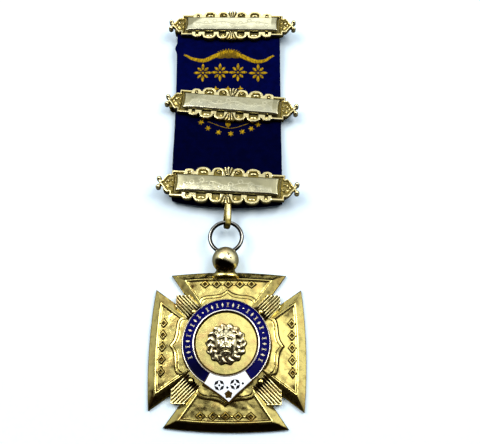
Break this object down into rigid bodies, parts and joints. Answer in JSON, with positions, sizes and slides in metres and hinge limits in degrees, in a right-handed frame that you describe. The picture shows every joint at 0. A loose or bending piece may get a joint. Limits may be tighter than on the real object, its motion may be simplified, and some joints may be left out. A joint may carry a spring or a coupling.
{
  "type": "fraternal lodge jewel",
  "caption": "Bevelled and rayed gilt cross with an enamelled roundel, hung by a ball, ring and bail from a folded navy ribbon with scroll-edged bars and a brooch pin.",
  "frame": {"origin": "centre of the cross on its back face, on the surface that the jewel lies on", "axes": "+Z out of the front, +Y up the ribbon towards the top bar, +X to the right as seen from the front"},
  "size_m": [0.0414, 0.1277, 0.0072],
  "materials": {
    "bar_gilt": "worn pale gilt with dark tarnish in the recesses",
    "plaque_gilt": "silvery gilt, rubbed and finely scratched",
    "cross_gilt": "warm gilt, olive and brown tarnish on the bevels",
    "pale_gilt": "pale gilt, bright on the high spots",
    "pin_steel": "drawn steel wire",
    "ribbon_cloth": "matt navy ribbed ribbon with a gold thread motif",
    "blue_enamel": "glossy deep blue enamel with small gold inlay",
    "white_enamel": "glossy white enamel with small black pattern"
  },
  "bodies": {
    "root": {"top_bar": "bar_gilt", "middle_bar": "bar_gilt", "bottom_bar": "bar_gilt", "top_bar_plaque": "plaque_gilt", "middle_bar_plaque": "plaque_gilt", "bottom_bar_plaque": "plaque_gilt", "brooch_pin": "pin_steel", "ribbon": "ribbon_cloth", "suspension_ring": "pale_gilt", "cross": "cross_gilt", "roundel_setting": "cross_gilt", "blue_enamel": "blue_enamel", "white_enamel": "white_enamel", "lion_mask": "pale_gilt"}
  },
  "joints": []
}
